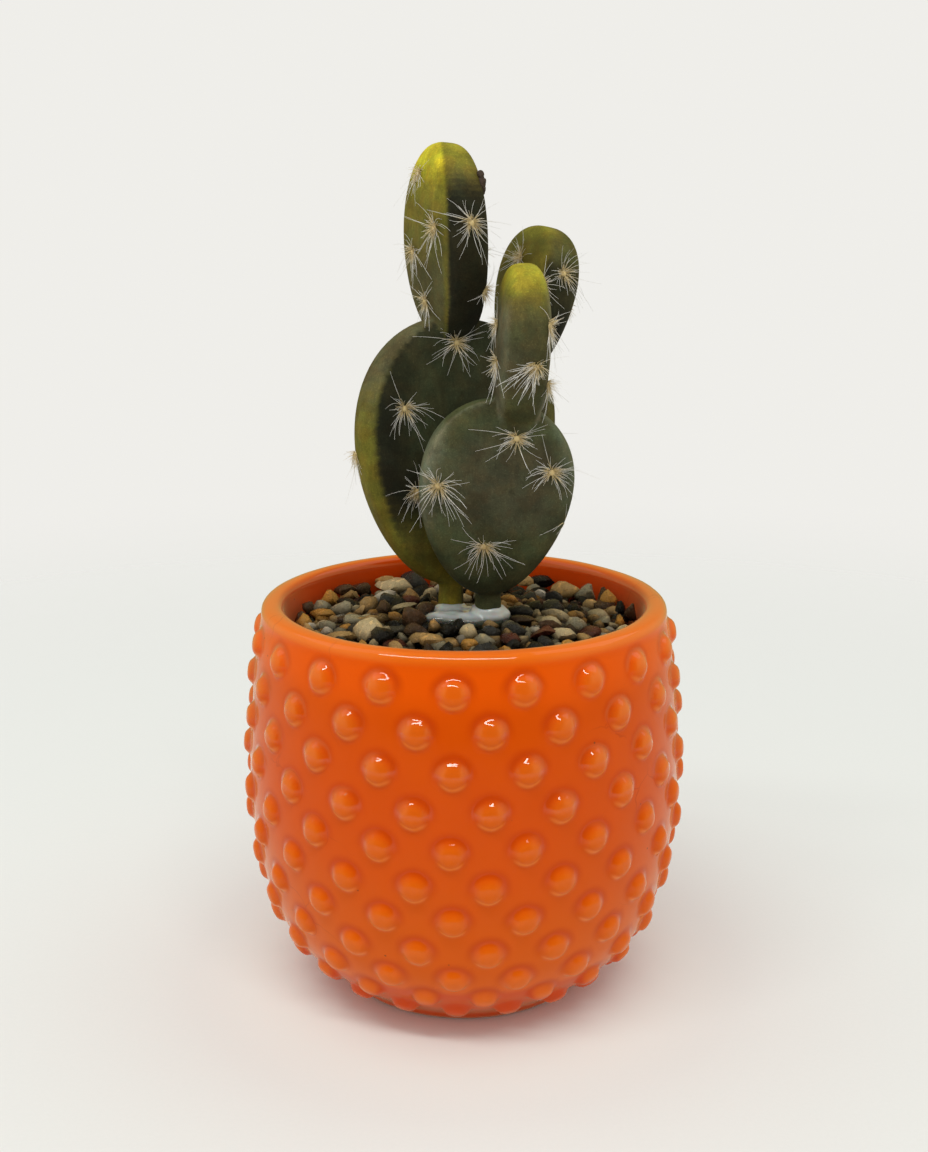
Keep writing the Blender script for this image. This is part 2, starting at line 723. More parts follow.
# Where no loose stone lies, because a stem or the glue does: across, back, and how far round that
TAKEN_SPOTS = ((-3.0, 3.0, 3.9), (5.4, -4.0, 4.6), (-5.0, -4.6, 3.6), (0.8, -5.4, 4.4))


def bed_level(radius):
    """The height of the gravel in millimetres: flat in the middle and falling to the wall."""
    share = max(0.0, (radius - GRAVEL_FLAT_RADIUS) / (GRAVEL_REACH - GRAVEL_FLAT_RADIUS))
    return GRAVEL_MIDDLE_TOP + (GRAVEL_EDGE_TOP - GRAVEL_MIDDLE_TOP) * share


def on_gravel(pixel, above):
    """Where the ray through a pixel of the photograph meets the gravel, and a pixel's size there."""
    camera = CAMERA_PLACE / MM
    cosine, sine = math.cos(CAMERA_PITCH), math.sin(CAMERA_PITCH)
    lift = (PHOTO_SIZE[1] / 2 - pixel[1]) / FOCAL_PIXELS
    level = GRAVEL_MIDDLE_TOP
    # The level depends on the place and the place on the level, so a few rounds settle both
    for _ in range(4):
        fall = level + above - camera.z
        ahead = fall * (cosine + lift * sine) / (lift * cosine - sine)
        depth = ahead * cosine - fall * sine
        x = (pixel[0] - PHOTO_SIZE[0] / 2) / FOCAL_PIXELS * depth
        y = ahead + camera.y
        level = bed_level(math.hypot(x, y))
    return Vector((x, y, 0)), depth / FOCAL_PIXELS


def turn_bed():
    """A closed solid turned round the axis, sunk a little below the stones that will lie on it."""
    rings = [(radius, bed_level(radius) - BED_SUNK) for radius in (6, GRAVEL_FLAT_RADIUS, 22, 31, BED_REACH)]
    points = [(0, 0, (bed_level(0) - BED_SUNK) * MM)]
    for radius, height in rings + [(BED_REACH, BED_BOTTOM)]:
        for k in range(BED_SIDES):
            angle = TURN * k / BED_SIDES
            points.append((radius * MM * math.cos(angle), radius * MM * math.sin(angle), height * MM))
    points.append((0, 0, BED_BOTTOM * MM))
    faces, last = [], len(points) - 1
    lowest = last - 1 - BED_SIDES
    for k in range(BED_SIDES):
        here, after = 1 + k, 1 + (k + 1) % BED_SIDES
        faces.append((0, here, after))
        for row in range(0, lowest, BED_SIDES):
            faces.append((row + here, row + BED_SIDES + here, row + BED_SIDES + after, row + after))
        faces.append((lowest + here, last, lowest + after))
    mesh = bpy.data.meshes.new("gravel_bed")
    mesh.from_pydata(points, [], faces)
    return mesh


bed = turn_bed()
print("bed of gravel:", len(bed.polygons), "faces")


# %% Colours of the stones, and the stones that catch the eye
# Each kind: its share of the stones, and its colour
STONE_KINDS = {
    "black": (0.17, (0.007, 0.007, 0.008)),
    "slate": (0.10, (0.026, 0.028, 0.030)),
    "tan": (0.18, (0.40, 0.27, 0.115)),
    "ochre": (0.09, (0.44, 0.24, 0.055)),
    "cream": (0.13, (0.52, 0.45, 0.29)),
    "grey": (0.15, (0.26, 0.25, 0.185)),
    "umber": (0.08, (0.070, 0.040, 0.022)),
    "red": (0.05, (0.11, 0.030, 0.020)),
    "white": (0.04, (0.58, 0.56, 0.50)),
}
# Where each kind starts on the scale from 0 to 1 that every stone draws its tint from
KIND_STARTS, start = {}, 0
for kind, (share, _) in STONE_KINDS.items():
    KIND_STARTS[kind] = start
    start += share

# Each: across and down in the photograph, width and height there in pixels, tilt in degrees, kind
CHOSEN_STONES = (
    (385, 567, 19, 13, 5, "slate"), (399, 570, 15, 10, -10, "black"), (416, 580, 22, 17, 0, "slate"),
    (376, 577, 17, 10, 5, "tan"), (391, 583, 32, 14, 0, "cream"), (434, 581, 10, 10, 0, "tan"),
    (362, 586, 16, 11, 0, "umber"), (332, 587, 16, 10, 10, "umber"), (350, 592, 17, 11, 5, "tan"),
    (331, 596, 17, 14, 0, "ochre"), (367, 598, 14, 12, 0, "black"), (349, 603, 20, 13, -15, "black"),
    (323, 605, 20, 12, 0, "grey"), (323, 613, 21, 12, 0, "ochre"), (308, 605, 11, 11, 0, "umber"),
    (302, 616, 15, 12, 0, "umber"), (360, 610, 9, 14, -35, "tan"), (343, 618, 11, 9, 0, "umber"),
    (331, 624, 18, 12, 0, "grey"), (328, 630, 14, 9, 0, "white"), (346, 627, 12, 11, 0, "ochre"),
    (367, 629, 31, 24, 10, "cream"), (369, 617, 28, 7, -8, "tan"), (341, 635, 26, 11, 5, "tan"),
    (385, 607, 18, 16, 0, "umber"), (398, 603, 13, 14, 0, "black"), (413, 596, 13, 21, 10, "tan"),
    (426, 599, 13, 17, 0, "black"), (415, 617, 21, 28, 20, "umber"), (397, 614, 13, 10, 0, "ochre"),
    (397, 623, 12, 11, 0, "black"), (381, 634, 27, 17, 25, "black"), (393, 643, 21, 10, 0, "red"),
    (416, 628, 20, 14, 0, "umber"), (434, 624, 14, 12, 0, "tan"), (450, 628, 16, 13, 0, "black"),
    (431, 640, 24, 15, 0, "tan"), (438, 645, 16, 11, 0, "grey"), (450, 643, 14, 11, 0, "tan"),
    (467, 631, 16, 18, 0, "cream"), (485, 640, 20, 15, 0, "grey"), (491, 631, 17, 14, 0, "slate"),
    (491, 623, 14, 9, 0, "tan"), (508, 637, 20, 11, 0, "red"), (517, 628, 22, 13, -10, "slate"),
    (522, 618, 22, 9, 0, "umber"), (535, 628, 12, 8, 0, "white"), (548, 621, 20, 11, 0, "cream"),
    (542, 631, 31, 11, 20, "red"), (562, 633, 22, 14, 0, "cream"), (577, 624, 24, 16, 0, "grey"),
    (579, 613, 14, 10, 0, "tan"), (596, 613, 20, 10, 0, "cream"), (604, 620, 18, 12, 0, "grey"),
    (589, 631, 24, 10, 10, "red"), (605, 631, 14, 9, 0, "tan"), (620, 622, 11, 17, 0, "ochre"),
    (611, 596, 17, 14, 0, "ochre"), (626, 593, 10, 14, 0, "umber"), (637, 610, 10, 17, 0, "umber"),
    (621, 607, 11, 14, 0, "black"), (604, 603, 22, 11, 0, "umber"), (592, 604, 17, 13, 0, "tan"),
    (586, 591, 18, 19, 0, "grey"), (566, 587, 25, 14, 0, "tan"), (557, 597, 18, 20, 0, "slate"),
    (551, 606, 20, 16, 0, "slate"), (543, 594, 13, 17, 10, "white"), (545, 578, 18, 11, 0, "black"),
    (526, 578, 17, 10, 0, "tan"), (517, 593, 13, 11, 0, "black"), (529, 596, 20, 14, 0, "slate"),
    (508, 600, 16, 14, 0, "ochre"), (519, 605, 17, 8, -10, "tan"), (534, 606, 14, 14, 0, "black"),
    (505, 588, 9, 10, 0, "umber"), (469, 594, 9, 20, -5, "ochre"), (576, 608, 17, 11, 0, "black"),
)
LEAST_LIFT, LIFT_STEP, MOST_LIFT = 0.4, 0.3, 2.8
GAP_TO_WALL = 0.2
CHOSEN_GROWTH = 1.24


def place_chosen_stones():
    """The listed stones as points that carry their size, turn and tint."""
    draw = random.Random(4)
    points, sizes, turns, tints = [], [], [], []
    for across, down, wide, high, tilt, kind in CHOSEN_STONES:
        pixel = (across, down + high * 0.2)
        place, scale = on_gravel(pixel, LEAST_LIFT)
        half_width = wide * scale / 2
        half = Vector((half_width, half_width * draw.uniform(0.75, 0.95), high * scale / 2 * 0.95))
        reach = GRAVEL_REACH - half.x - GAP_TO_WALL
        # A stone that the ray puts in the wall lies higher, and so nearer to the camera
        lift = LEAST_LIFT
        while place.length > reach and lift < MOST_LIFT:
            lift += LIFT_STEP
            place, scale = on_gravel(pixel, lift)
        if place.length > reach:
            place *= reach / place.length
        place.z = bed_level(place.length) + lift - LEAST_LIFT + half.z * 0.25
        points.append(place * MM)
        sizes.append(half * CHOSEN_GROWTH * MM)
        roll, twist = draw.uniform(-8, 8), draw.uniform(-10, 10)
        turns.append([math.radians(angle) for angle in (roll, -tilt, twist)])
        tints.append(KIND_STARTS[kind] + STONE_KINDS[kind][0] / 2)
    layers = {"size": (VECTOR, sizes), "turn": (VECTOR, turns), "tint": (FLOAT, tints)}
    return mesh_of_points("chosen_stones", points, **layers)


chosen_stones = bpy.data.objects.new("chosen_stones", place_chosen_stones())
print(len(CHOSEN_STONES), "stones picked out in the photograph")


# %% The stones' finish
def make_stone_finish():
    """Worn stone in nine colours: each stone's own tint, mottled, with fine grains and a faint polish."""
    material, bench, on_object = new_material("aquarium_gravel", {"Specular IOR Level": 0.26})
    step = bench.soft_step
    tint = bench.attribute("tint")
    place = on_object + bench.xyz(tint, tint * 3.7, 0.0)
    stops = [(KIND_STARTS[kind], colour) for kind, (_, colour) in STONE_KINDS.items()]
    colour = bench.node("ShaderNodeValToRGB", {"Fac": tint}, stops=stops)
    patches = bench.noise(place, 1.5 * MM, 4, 0.6)
    grains = bench.noise(place, 0.28 * MM, 2, 0.6)
    faded = step(bench.noise(place, 6 * MM, 1), 0.35, 0.8)
    colour = bench.mix(colour, (0.35, 0.35, 0.35), 0.9 * faded, "SOFT_LIGHT")
    colour = bench.tinted(colour, (1.7, 1.5, 1.2), step(patches, 0.5, 0.72))
    colour = bench.tinted(colour, (0.98, 0.90, 0.76))
    colour = bench.tinted(colour, (0.5, 0.46, 0.42), step(grains, 0.52, 0.70) * 0.8)

    # Stones that lie deep in the heap get little light, so they are darker, measured from the bed's slope
    beyond = bench.math("MAXIMUM", bench.vector("LENGTH", on_object * LEVEL) - GRAVEL_FLAT_RADIUS * MM, 0.0)
    raised = bench.axis(on_object, "Z") + beyond * GRAVEL_FALL
    open_to_light = step(raised, (GRAVEL_MIDDLE_TOP - 0.4) * MM, (GRAVEL_MIDDLE_TOP + 2.6) * MM)
    return dress(material, bench, {
        "Base Color": bench.tinted(colour, (0.10, 0.09, 0.08), 1 - open_to_light),
        "Roughness": 0.10 + 0.30 * patches,
        "Normal": bench.bump(patches * 2 + grains, 0.26 * MM),
    })


stone_finish = make_stone_finish()
print(len(STONE_KINDS), "kinds of stone")


# %% Scattering the stones
STONE_SHAPES = 8
CUTS = 9
CUT_DEPTHS = (0.52, 0.82)
# Each layer: its spacing, how far it is lifted, and its smallest and largest stones, half their width
LAYERS = (("Lower gap", 0.0, 1.6, 2.8), ("Upper gap", 1.1, 1.5, 3.8))
NARROWEST_TO_WALL = 1.9
SHARP_EDGE = 0.85


def stone_shapes(tree):
    """Balls of eighty facets, each cut flat on several sides as worn gravel is."""
    draw = random.Random(6)
    shapes = []
    for number in range(STONE_SHAPES):
        where = tree.position()
        for _ in range(CUTS):
            way = Vector((draw.gauss(0, 1), draw.gauss(0, 1), draw.gauss(0, 1))).normalized()
            along = tree.vector("DOT_PRODUCT", where, way)
            over = tree.math("MAXIMUM", along - draw.uniform(*CUT_DEPTHS), 0.0)
            where = where - over * 0.93 * way
        lump = tree.noise(where + (number * 3.1, 0, 0), 1.1, 1.0)
        stone = tree.move(tree.ball(1.0), Position=where * (0.74 + 0.72 * lump))
        shapes.append(tree.node("GeometryNodeGeometryToInstance", {"Geometry": stone}))
    return tree.join(*shapes)


def not_for_loose_stones(tree, chosen, where, radius, lift):
    """Whether a point is too near a chosen stone, a stem, the glue or the wall."""
    on_chosen = {"Geometry": chosen, "Sample Position": where}
    near = tree.node("GeometryNodeProximity", on_chosen, target_element="POINTS")
    nearest = tree.node("GeometryNodeSampleNearest", on_chosen, domain="POINT")
    half_width = tree.axis(tree.sample(chosen, tree.read("size", VECTOR), nearest), "X")
    room = (half_width * 0.80 + 1.7 * MM) * min(1.0, lift)
    taken = tree.compare(near["Distance"], room, "LESS_THAN")
    for across, back, reach in TAKEN_SPOTS:
        gap = tree.vector("DISTANCE", where * LEVEL, Vector((across, back, 0)) * MM)
        taken = tree.either(taken, tree.compare(gap, reach * MM, "LESS_THAN"))
    return tree.either(taken, tree.compare(radius, (GRAVEL_REACH - NARROWEST_TO_WALL) * MM))


def gravel_tree():
    tree = Tree("scattered_gravel", {
        "Chosen stones": chosen_stones, "Lower gap": 3.3 * MM, "Upper gap": 5.0 * MM, "Seed": 12,
        "Stone": stone_finish,
    })
    given, node = tree.given, tree.node
    chosen = node("GeometryNodeObjectInfo", {"Object": given["Chosen stones"]})["Geometry"]
    where = tree.position()
    radius = tree.vector("LENGTH", where * LEVEL)
    top = tree.compare(tree.axis(node("GeometryNodeInputNormal"), "Z"), 0.7)
    heap = [chosen]
    for label, lift, smallest, largest in LAYERS:
        spread = node("GeometryNodeDistributePointsOnFaces", {
            "Mesh": given["Geometry"], "Selection": top, "Distance Min": given[label],
            "Density Max": 600000.0, "Seed": given["Seed"] + len(heap),
        }, distribute_method="POISSON")["Points"]
        taken = not_for_loose_stones(tree, chosen, where, radius, lift)
        spread = node("GeometryNodeDeleteGeometry", {"Geometry": spread, "Selection": taken})
        size = tree.chance(
            Vector((smallest, smallest * 0.75, smallest * 0.6)) * MM,
            Vector((largest, largest * 0.9, largest * 0.72)) * MM, 21,
        )
        # Stones near the wall are smaller, so that they fit between it and the heap
        space = (GRAVEL_REACH * MM - radius) / (largest * 0.9 * MM)
        spread = tree.keep(spread, "size", VECTOR, size * tree.math("MINIMUM", space, 1.0))
        spread = tree.keep(spread, "turn", VECTOR, tree.chance((-0.5, -0.5, 0), (0.5, 0.5, TURN), 22))
        spread = tree.keep(spread, "tint", FLOAT, tree.chance(0.0, 1.0, 23))
        heap.append(tree.move(spread, Offset=(0, 0, (lift + BED_SUNK / 2) * MM)))
    stones = node("GeometryNodeInstanceOnPoints", {
        "Points": tree.join(*heap), "Instance": stone_shapes(tree), "Pick Instance": True,
        "Instance Index": tree.chance(0, STONE_SHAPES - 1, 31),
        "Rotation": node("FunctionNodeEulerToRotation", {"Euler": tree.read("turn", VECTOR)}),
        "Scale": tree.read("size", VECTOR),
    })
    real = tree.real(tree.smooth(tree.join(given["Geometry"], stones)))
    bent = tree.compare(node("GeometryNodeInputMeshEdgeAngle")["Unsigned Angle"], SHARP_EDGE)
    sharp = {"Geometry": real, "Selection": bent, "Shade Smooth": False}
    return tree.finish(node("GeometryNodeSetShadeSmooth", sharp, domain="EDGE"), given["Stone"])


gravel = gravel_tree().grow("gravel_stones", bed)
bpy.data.objects.remove(chosen_stones)
settle(gravel, "gravel", "gravel")


# %% [markdown]
# ## Glue
# A pool of hot glue holds both stems where they leave the gravel. It is milky where it is thick, clear at
# its thin edges, and it climbs the front stem a little. Flat blobs that overlap are laid where the pool
# shows, a voxel remesh melts them into one skin, and smoothing rounds it as surface tension would.

# %% Melting blobs into one skin
def melt(name, mesh, voxel, smooth_steps):
    """One closed skin round everything in the mesh, smoothed, as a plain mesh object."""
    maker = show(name + "_maker", mesh)
    remesh = maker.modifiers.new("remesh", "REMESH")
    remesh.mode = "VOXEL"
    remesh.voxel_size = voxel
    remesh.use_smooth_shade = True
    soften = maker.modifiers.new("soften", "SMOOTH")
    soften.iterations = smooth_steps
    soften.factor = 0.5
    return plain_copy(maker, name)


def add_blob(bm, place, radii, subdivisions):
    """An oval ball, in millimetres."""
    made = bmesh.ops.create_icosphere(bm, subdivisions=subdivisions, radius=1)["verts"]
    for vertex in made:
        vertex.co = Vector(place) * MM + Vector((vertex.co[k] * radii[k] * MM for k in range(3)))


def roughen(mesh, size, depth):
    """Moves each point in or out by a noise of that size."""
    for vertex in mesh.vertices:
        vertex.co += vertex.normal * noise.noise(vertex.co / size) * depth


print("blobs can be melted")


# %% The pool of glue
# Each blob: its middle and its three radii
GLUE_BLOBS = (
    ((0.8, -4.6, 86.5), (8.2, 4.4, 1.8)), ((-5.2, -4.6, 86.6), (4.2, 2.9, 1.5)),
    ((-3.0, 1.6, 86.8), (4.4, 4.4, 2.0)), ((5.4, -4.3, 86.9), (4.6, 4.0, 2.4)),
    ((8.0, -3.6, 86.8), (2.8, 3.0, 2.2)), ((1.4, -1.0, 86.6), (5.0, 4.0, 1.7)),
    ((5.5, -4.0, 88.6), (3.9, 3.7, 1.7)), ((-0.6, -7.0, 86.5), (3.2, 2.0, 1.2)),
)
GLUE_ALL_OVER = {
    "Subsurface Weight": 0.3, "Subsurface Scale": 2 * MM, "IOR": 1.48, "Coat Weight": 0.8,
    "Coat Roughness": 0.02,
}
THIN_GLUE, THICK_GLUE = (0.22, 0.23, 0.20), (0.56, 0.60, 0.58)


def make_glue_finish():
    """Milky glue: cloudy and opaque where it is thick, glassy where it runs out thin."""
    material, bench, place = new_material("milky_glue", GLUE_ALL_OVER)
    cloud = bench.noise(place, 3 * MM, 3)
    depth = bench.attribute("glue_depth") + (cloud - 0.5) * 0.9
    return dress(material, bench, {
        "Base Color": bench.mix(THIN_GLUE, THICK_GLUE, bench.soft_step(depth, 0.3, 1.9)),
        "Alpha": 0.25 + 0.62 * bench.soft_step(depth, 0.0, 1.7),
        "Roughness": 0.05 + 0.10 * cloud,
        "Normal": bench.bump(bench.noise(place, 2.2 * MM, 2), 0.25 * MM, 0.6),
    })


def make_glue():
    bm = bmesh.new()
    for place, radii in GLUE_BLOBS:
        add_blob(bm, place, radii, 3)
    glue = melt("glue_pool", mesh_from(bm, "glue_blobs"), 0.3 * MM, 8)
    roughen(glue.data, 2.6 * MM, 0.3 * MM)
    layer = glue.data.attributes.new("glue_depth", FLOAT, "POINT")
    for vertex, item in zip(glue.data.vertices, layer.data):
        item.value = max(0.0, vertex.co.z / MM - GRAVEL_MIDDLE_TOP - 0.4)
    glue.data.materials.append(make_glue_finish())
    return glue


settle(make_glue(), "clear_glue", "glue")


# %% [markdown]
# ## Cactus
# The two stems are cast in flexible foam plastic. A pad is a flat oval with nearly flat faces and a broad
# rounded rim, so its section is a superellipse that widens and narrows along a bent line. Each pad is
# lofted from that rule, and the pads of a stem are then melted into one skin, which gives the necks their
# soft hollows.

# %% The shape of a pad
PADS = {
    "big": dict(
        root=(-3.0, 3.0, 93), middle=(-2.2, 6.8, 123), tip=(2.8, 9.5, 152.5),
        face=25, width=47.5, thickness=12, neck=6.0, egg=0.22,
    ),
    "tall": dict(
        root=(-2.6, 7.6, 149.5), middle=(-4.2, 7.4, 170), tip=(-4.0, 8.0, 190.5),
        face=-64, width=27, thickness=12.2, neck=9.0, egg=0.04,
    ),
    "side": dict(
        root=(13.4, 14.4, 142), middle=(16.0, 15.8, 157.5), tip=(19.0, 16.6, 172.6),
        face=-62, width=23.5, thickness=11.6, neck=7, egg=0.26,
    ),
    "round": dict(
        root=(5.4, -4.0, 93.5), middle=(6.8, -9.2, 116), tip=(10.0, -11.4, 137),
        face=6, width=33.4, thickness=11, neck=6.2, egg=0.14,
    ),
    "upper": dict(
        root=(11.2, -10.6, 132), middle=(12.2, -11.8, 149), tip=(12.7, -13.4, 165.5),
        face=-84, width=22.5, thickness=10.9, neck=8.6, egg=0.10,
    ),
}
STEMS = {
    "rear": dict(foot=(-3.0, 3.0), radius=3.0, pads=("big", "tall", "side"), node="cactus_rear"),
    "front": dict(foot=(5.4, -4.0), radius=3.15, pads=("round", "upper"), node="cactus_front"),
}
# Heights along a stem, and the share of its radius there
STEM_LEVELS = ((58, 0.75), (60, 1), (74, 1), (84, 1), (88.5, 1))
# Below the first pad its strokes of paint run on: share 0 is at this height, -1 this much lower
PAINT_HEIGHT, PAINT_LENGTH = 93, 59.5
SECTION_POWER = 3.6
ROOT_POWER, TIP_POWER = 0.36, 0.55


def squared(value):
    """A sine or cosine bent towards the corners of a rounded box, which makes the superellipse."""
    return math.copysign(abs(value) ** (2 / SECTION_POWER), value)


class Pad:
    """One flat pad. Around its section 0 degrees is the right edge, 90 the face, 180 the left edge."""

    def __init__(self, root, middle, tip, face, width, thickness, neck, egg):
        self.root, self.middle, self.tip = (Vector(point) * MM for point in (root, middle, tip))
        self.face = math.radians(face)
        self.width, self.thickness, self.egg = width * MM, thickness * MM, egg
        self.start = math.asin(neck / width)

    def share_at(self, angle):
        return (math.cos(self.start) - math.cos(angle)) / (math.cos(self.start) + 1)

    def point(self, angle, around):
        share = self.share_at(angle)
        handle = 2 * self.middle - (self.root + self.tip) / 2
        centre = self.root.lerp(handle, share).lerp(handle.lerp(self.tip, share), share)
        heading = (handle - self.root).lerp(self.tip - handle, share).normalized()
        face = Vector((math.sin(self.face), -math.cos(self.face), 0))
        across = heading.cross(face).normalized()
        out = across.cross(heading).normalized()
        half_width = self.width / 2 * math.sin(angle) * (1 - self.egg * math.cos(angle))
        power = ROOT_POWER if angle < math.pi / 2 else TIP_POWER
        half_thickness = self.thickness / 2 * math.sin(angle) ** power
        side, front = squared(math.cos(around)) * half_width, squared(math.sin(around)) * half_thickness
        return centre + across * side + out * front

    def at_share(self, share, around):
        """A place on the skin and the way it faces."""
        angle, step = math.acos(math.cos(self.start) - share * (math.cos(self.start) + 1)), 0.01
        up = self.point(angle + step, around) - self.point(angle - step, around)
        side = self.point(angle, around + step) - self.point(angle, around - step)
        return self.point(angle, around), up.cross(side).normalized()


pads = {name: Pad(**values) for name, values in PADS.items()}
print(len(pads), "pads on", len(STEMS), "stems")


# %% Lofting the pads of a stem and melting them together
LOFT_RINGS = 44
LOFT_SIDES = 128
ROUND_WAYS = [TURN * j / LOFT_SIDES for j in range(LOFT_SIDES)]
SKIN_VOXEL = 0.5 * MM
SKIN_STEPS = 6


def loft(bm, rings):
    """Faces between rings of points, and a cap at each end."""
    loops = [[bm.verts.new(point) for point in ring] for ring in rings]
    for lower, upper in zip(loops, loops[1:]):
        for k in range(len(lower)):
            after = (k + 1) % len(lower)
            bm.faces.new((upper[k], lower[k], lower[after], upper[after]))
    bm.faces.new(reversed(loops[0]))
    bm.faces.new(loops[-1])


def stem_rings(stem, samples):
    """The rings of a stem below its first pad, noted as that pad's lower end."""
    first, (foot_x, foot_y), radius, rings = stem["pads"][0], stem["foot"], stem["radius"], []
    for height, wide in STEM_LEVELS:
        ring, share = [], -(PAINT_HEIGHT - height) / PAINT_LENGTH
        for around in ROUND_WAYS:
            angle = pads[first].face - around
            x, y = foot_x + radius * wide * math.cos(angle), foot_y + radius * wide * math.sin(angle)
            ring.append(Vector((x, y, height)) * MM)
            samples.append((ring[-1], first, share, around))
        rings.append(ring)
    return rings


def pad_rings(name, samples):
    """The rings of a pad, each point also noted with its pad, share and place round the section."""
    pad, rings = pads[name], []
    for k in range(LOFT_RINGS):
        angle = pad.start + (math.pi - 0.02 - pad.start) * (k / LOFT_RINGS) ** 1.15
        rings.append([pad.point(angle, around) for around in ROUND_WAYS])
        share = pad.share_at(angle)
        samples.extend((point, name, share, around) for point, around in zip(rings[-1], ROUND_WAYS))
    return rings


def make_skin(stem_name):
    stem, samples = STEMS[stem_name], []
    bm = bmesh.new()
    first, *others = stem["pads"]
    loft(bm, stem_rings(stem, samples) + pad_rings(first, samples))
    for name in others:
        loft(bm, pad_rings(name, samples))
    bmesh.ops.recalc_face_normals(bm, faces=bm.faces[:])
    mesh = mesh_from(bm, "pads_" + stem_name)
    return melt("cactus_skin_" + stem_name, mesh, SKIN_VOXEL, SKIN_STEPS), samples


skins, skin_samples = {}, {}
for stem_name in STEMS:
    skins[stem_name], skin_samples[stem_name] = make_skin(stem_name)
    print(stem_name, "skin:", triangles(skins[stem_name]), "triangles")


# %% [markdown]
# ## Paint on the pads
# The pads are airbrushed over a dark green cast: yellow on the tips, olive along the rims that face the
# light, near-black where a face meets its rim, a pale bloom on the round pad. The strokes are kept in a
# table, as a painter would list them. Each point of the skin looks up which pad it is on and how far up and
# round it lies, and takes the strokes that reach it, with ragged edges from a noise.

# %% The strokes of the airbrush
PAINTS = {
    "yellow": (0.42, 0.395, 0.028), "sun": (0.50, 0.46, 0.024), "khaki": (0.072, 0.068, 0.028),
    "lime": (0.190, 0.168, 0.015), "olive": (0.112, 0.106, 0.018), "moss": (0.060, 0.064, 0.027),
    "grey_green": (0.057, 0.070, 0.034), "night": (0.015, 0.016, 0.009), "drab": (0.088, 0.084, 0.042),
    "umber": (0.036, 0.031, 0.013), "bloom": (0.135, 0.158, 0.115), "plum": (0.052, 0.044, 0.030),
    "ash": (0.160, 0.165, 0.120),
}
FACE, LEFT, BACK, RIGHT = 90, 180, 270, 0
KEEN, CRISP, SOFT = 1.2, 3.5, 13
